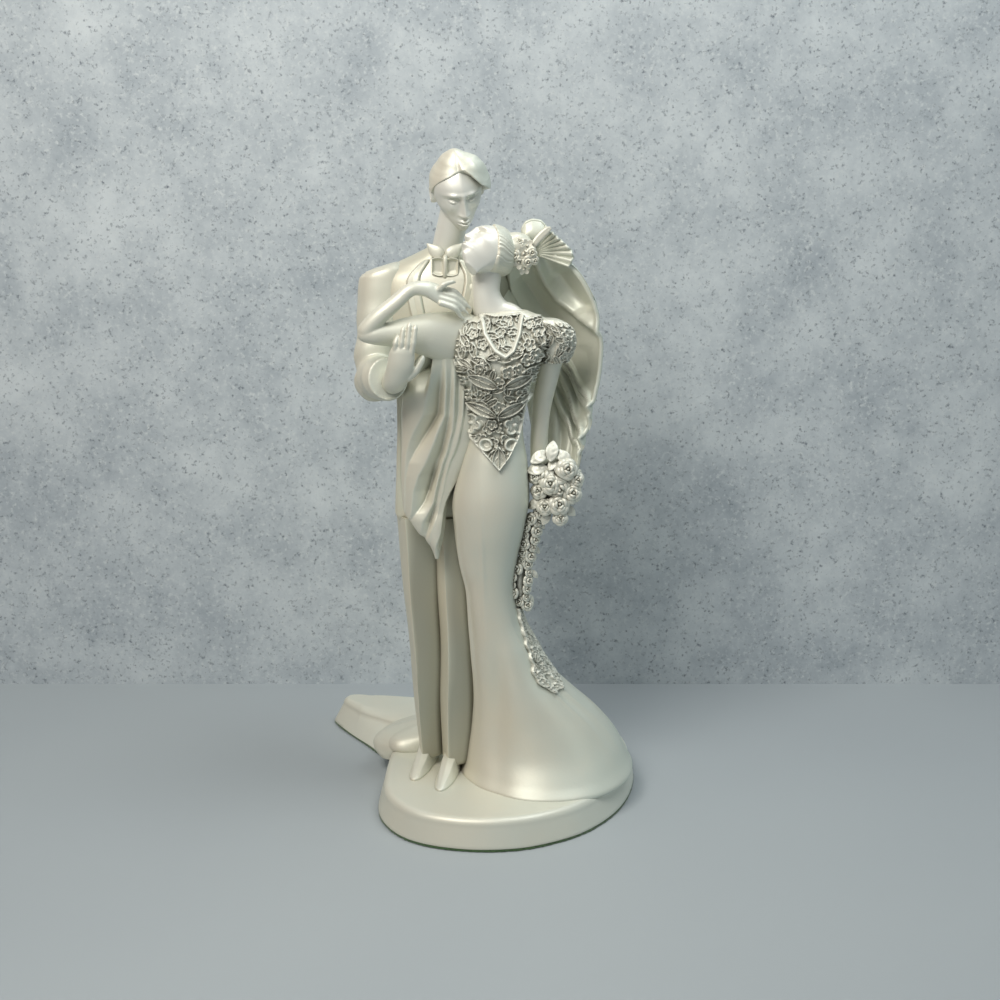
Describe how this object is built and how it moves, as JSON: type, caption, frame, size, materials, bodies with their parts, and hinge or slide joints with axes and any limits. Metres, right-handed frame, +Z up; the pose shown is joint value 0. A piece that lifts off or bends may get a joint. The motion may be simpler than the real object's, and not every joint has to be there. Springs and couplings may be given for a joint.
{
  "type": "wedding couple figurine",
  "caption": "Cast statuette of an embracing bride and groom in pearl lacquer, on a rounded base, with a long veil, a bouquet, a lace bodice and a trailing gown.",
  "frame": {"origin": "on the felt underside of the base, below the couple", "axes": "+Z up the couple's height, -Y the way the groom faces, +X towards the bride's train"},
  "size_m": [0.156, 0.1569, 0.3008],
  "materials": {
    "pearl_cast": "pearl lacquer over cast plaster",
    "felt": "green felt"
  },
  "bodies": {
    "root": {"felt_pad": "felt", "plinth": "pearl_cast", "train_tail": "pearl_cast", "train_sweep": "pearl_cast", "gown_skirt": "pearl_cast", "gown_swag": "pearl_cast", "bride_bodice": "pearl_cast", "lace_panel": "pearl_cast", "lace_sleeve": "pearl_cast", "bride_right_arm": "pearl_cast", "bride_left_arm": "pearl_cast", "bride_head": "pearl_cast", "bride_hair": "pearl_cast", "hair_flowers": "pearl_cast", "veil_fan": "pearl_cast", "veil": "pearl_cast", "bouquet": "pearl_cast", "cascade": "pearl_cast", "train_lace": "pearl_cast", "groom_jacket": "pearl_cast", "groom_right_sleeve": "pearl_cast", "groom_right_hand": "pearl_cast", "groom_left_sleeve": "pearl_cast", "groom_left_hand": "pearl_cast", "groom_trousers": "pearl_cast", "groom_shoe_right": "pearl_cast", "groom_shoe_left": "pearl_cast", "groom_head": "pearl_cast", "groom_hair": "pearl_cast", "shirt_front": "pearl_cast", "bow_tie": "pearl_cast", "lapel_left": "pearl_cast", "lapel_right": "pearl_cast"}
  },
  "joints": []
}
